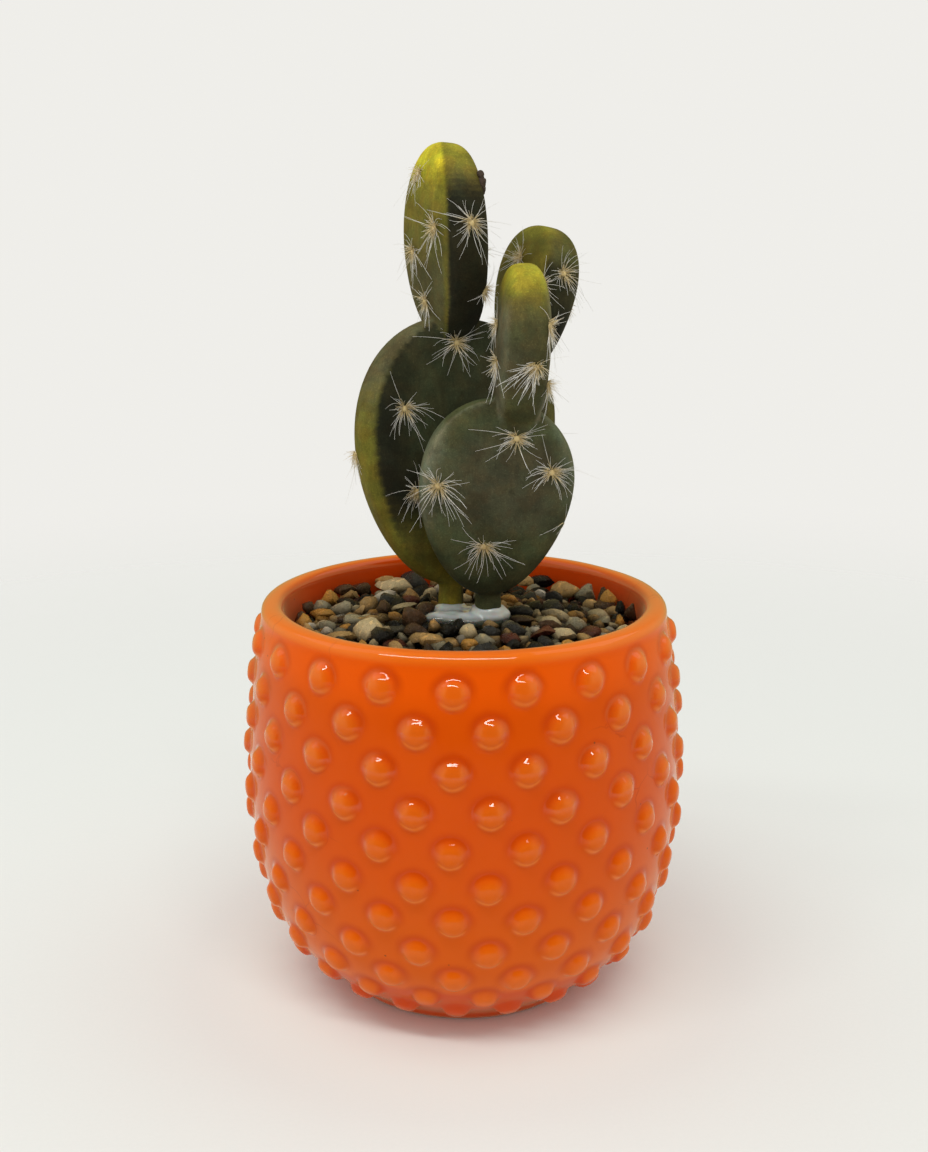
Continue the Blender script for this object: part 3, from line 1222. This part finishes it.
# Each stroke: paint, strength, middle round the section, its reach in degrees, how soft its sides are, and
# the shares of the height where it starts, is full, is still full and ends
STROKES = {
    "big": (
        ("night", 1.0, FACE, 180, SOFT, -3, -2, 3, 4),
        ("grey_green", 0.55, 75, 38, SOFT, 0.35, 0.6, 0.85, 1.1),
        ("plum", 0.35, 60, 30, SOFT, 0.5, 0.7, 0.8, 1.0),
        ("moss", 0.35, 130, 12, SOFT, 0.6, 0.8, 0.95, 1.0),
        ("olive", 1.0, LEFT, 36, KEEN, -3, -2, 0.66, 0.90),
        ("drab", 0.9, LEFT, 35, KEEN, 0.5, 0.78, 0.95, 1.1),
        ("lime", 0.28, LEFT, 30, SOFT, 0.05, 0.2, 0.45, 0.7),
        ("olive", 0.8, 118, 60, SOFT, -3, -2, 0.08, 0.34),
        ("olive", 0.45, RIGHT, 44, CRISP, -3, -2, 0.9, 1.1),
        ("moss", 0.5, BACK, 60, SOFT, -3, -2, 0.2, 0.6),
        ("lime", 0.50, LEFT, 95, SOFT, -3, -2, -0.04, 0.12),
    ),
    "tall": (
        ("khaki", 1.0, FACE, 180, SOFT, -1, 0, 1, 2), ("olive", 0.9, FACE, 62, SOFT, 0.30, 0.58, 1, 2),
        ("night", 1.0, RIGHT, 40, CRISP, -1, -0.5, 0.68, 0.91),
        ("night", 0.8, BACK, 50, SOFT, -1, -0.5, 0.65, 0.85),
        ("umber", 0.20, RIGHT, 26, SOFT, 0.2, 0.4, 0.55, 0.7),
        ("olive", 0.8, 47, 5, CRISP, -0.1, 0.05, 0.9, 1.0),
        ("lime", 0.62, 100, 60, CRISP, 0.50, 0.84, 1, 2), ("sun", 0.98, 112, 72, CRISP, 0.74, 0.93, 1, 2),
        ("lime", 0.80, RIGHT, 46, CRISP, 0.72, 0.95, 1, 2),
        ("yellow", 0.45, RIGHT, 180, SOFT, 0.90, 1.0, 1, 2),
    ),
    "side": (
        ("olive", 1.0, FACE, 180, SOFT, -1, 0, 1, 2), ("moss", 0.40, FACE, 180, SOFT, -1, 0, 1, 2),
        ("lime", 0.32, FACE, 60, SOFT, 0.40, 0.72, 1, 2),
        ("night", 1.0, RIGHT, 42, CRISP, -1, -0.5, 0.66, 0.90),
        ("night", 0.6, FACE, 50, SOFT, -1, -0.5, 0.2, 0.5),
        ("olive", 0.7, BACK, 55, SOFT, 0.3, 0.5, 1, 2), ("lime", 0.28, FACE, 180, SOFT, 0.86, 0.97, 1, 2),
        ("moss", 0.35, RIGHT, 30, SOFT, 0.3, 0.6, 1, 2), ("yellow", 0.25, 60, 60, SOFT, 0.86, 1.0, 1, 2),
    ),
    "round": (
        ("grey_green", 1.0, FACE, 180, SOFT, -3, -2, 3, 4),
        ("plum", 0.40, 110, 50, SOFT, 0.3, 0.5, 0.7, 0.9),
        ("night", 0.45, FACE, 60, SOFT, -3, -2, 0.02, 0.25),
        ("plum", 0.35, 70, 40, SOFT, 0.25, 0.4, 0.75, 0.95),
        ("moss", 0.9, 152, 30, SOFT, 0.70, 0.80, 0.92, 1.0),
        ("bloom", 0.60, LEFT, 42, SOFT, 0.30, 0.50, 0.72, 0.90),
        ("ash", 0.55, 158, 3, 5, 0.25, 0.45, 0.92, 1.0),
        ("bloom", 0.30, RIGHT, 42, SOFT, 0.45, 0.65, 0.92, 1.1),
        ("umber", 0.7, FACE, 55, SOFT, 0.86, 0.96, 1.1, 2),
        ("moss", 0.5, LEFT, 100, SOFT, -3, -2, -0.05, 0.10),
        ("ash", 0.35, 150, 14, SOFT, 0.9, 0.97, 1.1, 2),
    ),
    "upper": (
        ("umber", 1.0, FACE, 180, SOFT, -1, 0, 1, 2), ("moss", 0.85, RIGHT, 60, SOFT, -1, 0, 0.75, 0.95),
        ("plum", 0.45, 20, 26, SOFT, 0.15, 0.3, 0.45, 0.65),
        ("khaki", 0.70, RIGHT, 80, SOFT, 0.48, 0.74, 1, 2),
        ("ash", 0.45, BACK, 50, SOFT, -1, 0, 0.80, 1.0), ("ash", 0.35, FACE, 50, SOFT, -1, 0, 0.7, 0.9),
        ("lime", 0.60, RIGHT, 180, SOFT, 0.66, 0.92, 1, 2),
        ("yellow", 0.55, RIGHT, 180, SOFT, 0.80, 1.0, 1, 2),
    ),
}


def ramp(value, low, high):
    share = min(max((value - low) / (high - low), 0), 1)
    return share * share * (3 - 2 * share)


def painted(pad_name, share, around, place):
    """The paint at one place: the strokes laid over each other in order."""
    share += 0.03 * noise.noise(place / (4 * MM)) + 0.012 * noise.noise(place / (0.9 * MM))
    degrees = math.degrees(around) + 2.5 * noise.noise(place / (4 * MM) + Vector((7, 0, 0)))
    patch = noise.noise(place / (3 * MM) + Vector((0, 5, 0)))
    colour = Vector((0, 0, 0))
    for paint, strength, middle, reach, softness, start, full, still, end in STROKES[pad_name]:
        off = abs((degrees - middle + 180) % 360 - 180)
        laid = strength * ramp(share, start, full) * (1 - ramp(share, still, end))
        if reach < 180:
            laid *= 1 - ramp(off, reach - softness, reach + softness)
        if strength < 1:
            laid = min(1.0, laid * (1 + 0.25 * patch))
        colour = colour.lerp(Vector(PAINTS[paint]), laid)
    return colour


def paint_skin(skin, samples):
    """Gives each point the paint of the nearest places on the pads' own lofts."""
    tree = kdtree.KDTree(len(samples))
    for number, (place, *_) in enumerate(samples):
        tree.insert(place, number)
    tree.balance()
    layer = skin.data.attributes.new("paint", "FLOAT_COLOR", "POINT")
    for vertex, item in zip(skin.data.vertices, layer.data):
        colour, whole = Vector((0, 0, 0)), 0
        for _, number, distance in tree.find_n(vertex.co, 3):
            weight = 1 / (distance + 0.1 * MM)
            colour += painted(*samples[number][1:], vertex.co) * weight
            whole += weight
        item.color = (*(colour / whole), 1)


for stem_name, skin in skins.items():
    paint_skin(skin, skin_samples[stem_name])
print("paint laid on both skins")


# %% The finish of the paint
def make_pad_finish():
    """Airbrushed paint on foam plastic: matte, with a fine dust of grains and faint upright streaks."""
    material, bench, place = new_material("painted_pads", {"Specular IOR Level": 0.10})
    step = bench.soft_step
    dust = bench.noise(place, 0.32 * MM, 2, 0.7)
    grain = bench.noise(place, 0.8 * MM, 3, 0.6)
    upright = bench.node("ShaderNodeMapping", {"Vector": place, "Scale": (1.0, 1.0, 0.12)})
    streaks = bench.noise(upright, 1.1 * MM, 2, 0.6)
    colour = bench.attribute("paint", "Color")
    colour = bench.tinted(colour, (1.75, 1.75, 1.7), step(dust, 0.50, 0.74) * 0.65)
    colour = bench.tinted(colour, (0.60, 0.60, 0.60), step(grain, 0.50, 0.75) * 0.5)
    colour = bench.tinted(colour, (1.35, 1.35, 1.30), step(streaks, 0.5, 0.72) * 0.45)
    warm, cool = bench.tinted(colour, (1.13, 0.98, 0.84)), bench.tinted(colour, (1.00, 1.02, 0.94))
    colour = bench.mix(cool, warm, step(bench.noise(place, 4 * MM, 3, 0.55), 0.38, 0.62))
    dull, bright = bench.tinted(colour, (0.80, 0.80, 0.80)), bench.tinted(colour, (1.22, 1.22, 1.22))
    return dress(material, bench, {
        "Base Color": bench.mix(dull, bright, step(bench.noise(place, 7 * MM, 4, 0.6), 0.36, 0.64)),
        "Roughness": 0.52 + 0.22 * grain,
        "Normal": bench.bump(dust + grain * 1.5 + streaks, 0.05 * MM, 0.6),
    })


pad_finish = make_pad_finish()
print("the paint's finish is ready")


# %% [markdown]
# ## Bunches of spines
# Each bunch is a plug of straw-coloured fibre glued into a pit, from which thin pale hairs spread like a
# star and sag a little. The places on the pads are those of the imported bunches. Geometry Nodes grow them:
# every place is repeated once for each hair, a straight line is laid along a direction of its own, bent
# down by its length, and given three thin sides. One bunch leans or spreads differently from the next, so
# each place carries its own lean, as read from the photograph.

# %% The bunches
HIDDEN = (0.0, 0.9, -0.35)
BEHIND_LEFT = (1.9, 1.4, -0.30)
BEHIND_RIGHT = (-1.5, 1.6, -0.4)
# Each: share up the pad, degrees round its section, hairs, lean (right, back, up), spread sideways
BUNCHES = {
    "big": (
        (0.90, 98, 46, (0.20, 0, -0.30), 0.7), (0.64, 118, 40, (0.05, 0, -0.55), 0),
        (0.35, 108, 26, (-0.80, 0, -0.15), 0), (0.46, 184, 12, (0.60, -0.3, -2.6), 0),
        (0.60, 354, 22, HIDDEN, 0), (0.80, 284, 30, HIDDEN, 0), (0.62, 252, 30, HIDDEN, 0),
        (0.38, 276, 30, HIDDEN, 0),
    ),
    "tall": (
        (0.84, 94, 18, (0.35, -0.2, -1.0), 0), (0.56, 70, 28, (0.10, 0, -0.20), 0),
        (0.44, 96, 30, (0.40, -0.1, -0.70), 0), (0.19, 90, 28, (0.25, 0, -0.20), 0),
        (0.58, 0, 42, (-0.10, 0, -0.40), 0.3), (0.22, 332, 12, (-0.2, 0.3, -0.5), 0),
        (0.70, 258, 16, BEHIND_RIGHT, 0), (0.42, 284, 14, BEHIND_RIGHT, 0),
        (0.64, 180, 8, BEHIND_LEFT, 0), (0.34, 176, 8, BEHIND_LEFT, 0),
    ),
    "side": (
        (0.68, 2, 26, (0.15, 0, -0.30), 0), (0.74, 90, 30, (-0.1, 0, 0.45), 0),
        (0.74, 264, 16, BEHIND_RIGHT, 0), (0.46, 286, 16, BEHIND_RIGHT, 0),
        (0.55, 182, 22, BEHIND_LEFT, 0),
    ),
    "round": (
        (0.83, 88, 34, (0.10, 0, -0.05), 1.4), (0.68, 62, 40, (0.25, 0, -0.05), 1.0),
        (0.56, 130, 54, (-0.05, 0, -0.15), 0), (0.28, 92, 40, (0.10, 0, -0.22), 0.3),
        (0.72, 306, 28, HIDDEN, 0), (0.40, 24, 4, (-1.6, -0.3, -0.25), 0),
    ),
    "upper": (
        (0.61, 90, 20, (0.2, 0, -0.6), 0), (0.39, 84, 20, (0.2, 0, -0.8), 0),
        (0.41, 354, 50, (-0.95, -0.1, -1.05), 0), (0.66, 320, 26, (0.0, 0, -1.1), 0),
        (0.28, 302, 26, (0.0, 0, -1.2), 0), (0.58, 180, 24, HIDDEN, 0), (0.84, 252, 24, HIDDEN, 0),
    ),
}
FEWEST_HAIRS_WITH_A_PLUG = 6
HAIR_SIZES = {
    "Hair length": 6.1 * MM, "Hair radius": 0.056 * MM, "Plug radius": 1.1 * MM, "Fibre length": 2.1 * MM,
    "Fibres": 60, "Sag": 0.18, "Seed": 5,
}
STRAW = ((0.50, 0.35, 0.12), (0.82, 0.68, 0.36))
PALE = ((0.78, 0.76, 0.68), (0.93, 0.92, 0.88))


def make_fibre_finish():
    """Straw at the root, nearly white and a little shiny towards the tip."""
    material, bench, place = new_material("straw_fibre", {"Specular IOR Level": 0.5})
    tone = bench.noise(place, 0.7 * MM, 2)
    towards_tip = bench.soft_step(bench.attribute("along"), 0.10, 0.48)
    return dress(material, bench, {
        "Base Color": bench.mix(bench.mix(*STRAW, tone), bench.mix(*PALE, tone), towards_tip),
        "Roughness": 0.45 + 0.2 * tone,
    })


def strands(tree, seed, amount, length, thick, points, lift, leaning, tip_tone):
    """Many strands from each place, in directions of their own, bent and given three sides.

    The lift is how steeply they rise, least and most, and the tip tone how pale they end.
    """
    given, node = tree.given, tree.node
    outward = tree.read("outward", VECTOR)
    copies = tree.repeat(given["Geometry"], amount)
    loose = tree.chance(-EACH_WAY, EACH_WAY, seed)
    crook = tree.chance(-EACH_WAY, EACH_WAY, seed + 5)

    # A strand's way: flat against the pad, raised a little, and leaning as its bunch does
    inward = tree.vector("DOT_PRODUCT", loose, outward)
    flat = tree.vector("NORMALIZE", loose - outward * inward)
    wide = tree.xyz(tree.read("wide") + 1.0, 1.0, 1.0)
    lean = tree.read("lean", VECTOR) * (tree.chance(0.4, 1.3, seed + 2) * leaning)
    way = tree.vector("NORMALIZE", flat * wide + outward * tree.chance(*lift, seed + 1) + lean)
    # No strand goes into the pad
    short = tree.math("MAXIMUM", 0.10 - tree.vector("DOT_PRODUCT", way, outward), 0.0)
    way = tree.vector("NORMALIZE", way + outward * short)
    moved = tree.move(copies, Offset=flat * given["Plug radius"] * tree.chance(0.0, 1.0, seed + 3))
    moved = tree.keep(moved, "way", VECTOR, way)
    moved = tree.keep(moved, "own_length", FLOAT, length * tree.chance(0.40, 1.25, seed + 4))
    moved = tree.keep(moved, "bend", VECTOR, crook * 0.36)

    line = node("GeometryNodeCurvePrimitiveLine", {"Start": (0, 0, 0), "End": (0, 0, 1)})
    line = node("GeometryNodeResampleCurve", {"Curve": line, "Count": points})
    own_length = tree.read("own_length")
    lines = tree.real(node("GeometryNodeInstanceOnPoints", {
        "Points": moved, "Instance": line, "Scale": tree.xyz(1.0, 1.0, own_length),
        "Rotation": node("FunctionNodeAlignRotationToVector", {"Vector": tree.read("way", VECTOR)}),
    }))
    t = node("GeometryNodeSplineParameter")["Factor"]
    down = tree.xyz(0.0, 0.0, 0 - given["Sag"])
    curl = (tree.read("bend", VECTOR) + down) * (t * t * own_length)
    bent = tree.keep(tree.move(lines, Offset=curl), "along", FLOAT, t * tip_tone)
    rim = node("GeometryNodeCurvePrimitiveCircle", {"Resolution": 3, "Radius": thick})
    plugs = {"Curve": bent, "Profile Curve": rim, "Scale": 1 - 0.6 * t, "Fill Caps": True}
    return node("GeometryNodeCurveToMesh", plugs)


def hair_tree():
    tree = Tree("bunches_of_spines", {**HAIR_SIZES, "Fibre": make_fibre_finish()})
    given, node = tree.given, tree.node
    count, thick = tree.read("hairs", "INT"), given["Hair radius"]
    full = tree.compare(count, FEWEST_HAIRS_WITH_A_PLUG, "GREATER_EQUAL", "INT")
    hairs = strands(
        tree, seed=40, amount=count, length=given["Hair length"], thick=thick, points=7, lift=(0.06, 0.50),
        leaning=1.0, tip_tone=1.0,
    )
    fibres = strands(
        tree, seed=60, amount=given["Fibres"] * full, length=given["Fibre length"], thick=thick * 1.15,
        points=4, lift=(0.25, 1.3), leaning=0.5, tip_tone=0.36,
    )
    outward = tree.read("outward", VECTOR)
    plugs = node("GeometryNodeInstanceOnPoints", {
        "Points": given["Geometry"], "Selection": full, "Instance": tree.ball(given["Plug radius"] * 0.6),
        "Rotation": node("FunctionNodeAlignRotationToVector", {"Vector": outward}), "Scale": (1, 1, 0.5),
    })
    return tree.finish(tree.join(hairs, fibres, plugs), given["Fibre"])


hair = hair_tree()
print(sum(len(bunches) for bunches in BUNCHES.values()), "bunches to grow")


# %% Growing the bunches of each pad
def bunch_points(pad_name, skin_faces):
    """A point for each bunch of a pad, on the finished skin, with what the tree reads from it."""
    places, outwards = [], []
    shares, angles, hairs, leans, wides = zip(*BUNCHES[pad_name])
    for share, degrees in zip(shares, angles):
        place, outward = pads[pad_name].at_share(share, math.radians(degrees))
        places.append(skin_faces.find_nearest(place)[0] + outward * 0.15 * MM)
        outwards.append(outward)
    return mesh_of_points(
        "bunches_" + pad_name, places, outward=(VECTOR, outwards), lean=(VECTOR, leans),
        hairs=("INT", hairs), wide=(FLOAT, wides),
    )


for stem_name, stem in STEMS.items():
    skin = skins[stem_name]
    corners, faces = skin.data.vertices, skin.data.polygons
    skin_faces = BVHTree.FromPolygons([corner.co for corner in corners], [face.vertices for face in faces])
    for number, pad_name in enumerate(stem["pads"]):
        seed = HAIR_SIZES["Seed"] + 100 * number
        spines = hair.grow(f"spines_{pad_name}_pad", bunch_points(pad_name, skin_faces), Seed=seed)
        nodes = [f"spines_{pad_name}_pad_{k + 1}" for k in range(len(BUNCHES[pad_name]))]
        settle(spines, "straw_spines", *nodes)
    skin.data.materials.clear()
    skin.data.materials.append(pad_finish)
    settle(skin, "painted_pads", stem["node"])


# %% [markdown]
# ## Bare bud
# One plug on the right of the tall pad has lost its hairs and shows as a small dark knobbly lump. A few
# small balls are melted together and roughened.

# %% The bare bud
BUD_SHARE, BUD_DEGREES = 0.79, 320
BUD_BROWNS = ((0.018, 0.012, 0.008), (0.075, 0.045, 0.028))
# Each ball: how far out of the pad, along it and up its middle lies, and its radius, in millimetres
BUD_BALLS = ((-0.3, 0, 0, 1.3), (-0.1, 0.3, 1.5, 0.9), (0.0, -0.3, -1.6, 1.0), (0.2, 0.2, 0.2, 0.9))


def make_bud_finish():
    material, bench, place = new_material("dark_bud", {"Specular IOR Level": 0.35})
    lumps = bench.noise(place, 0.8 * MM, 3, 0.6)
    return dress(material, bench, {
        "Base Color": bench.mix(*BUD_BROWNS, lumps),
        "Roughness": 0.55 + 0.3 * lumps,
        "Normal": bench.bump(lumps, 0.2 * MM),
    })


def make_bare_bud():
    place, outward = pads["tall"].at_share(BUD_SHARE, math.radians(BUD_DEGREES))
    side = outward.cross(UP).normalized()
    bm = bmesh.new()
    for out, along, up, radius in BUD_BALLS:
        middle = place / MM + outward * out + side * along + UP * up
        add_blob(bm, middle, (radius, radius, radius * 1.15), 2)
    bud = melt("bare_bud", mesh_from(bm, "bud_balls"), 0.16 * MM, 2)
    roughen(bud.data, 0.8 * MM, 0.25 * MM)
    bud.data.materials.append(make_bud_finish())
    return bud


settle(make_bare_bud(), "dark_bud", "bare_bud_tall_pad")
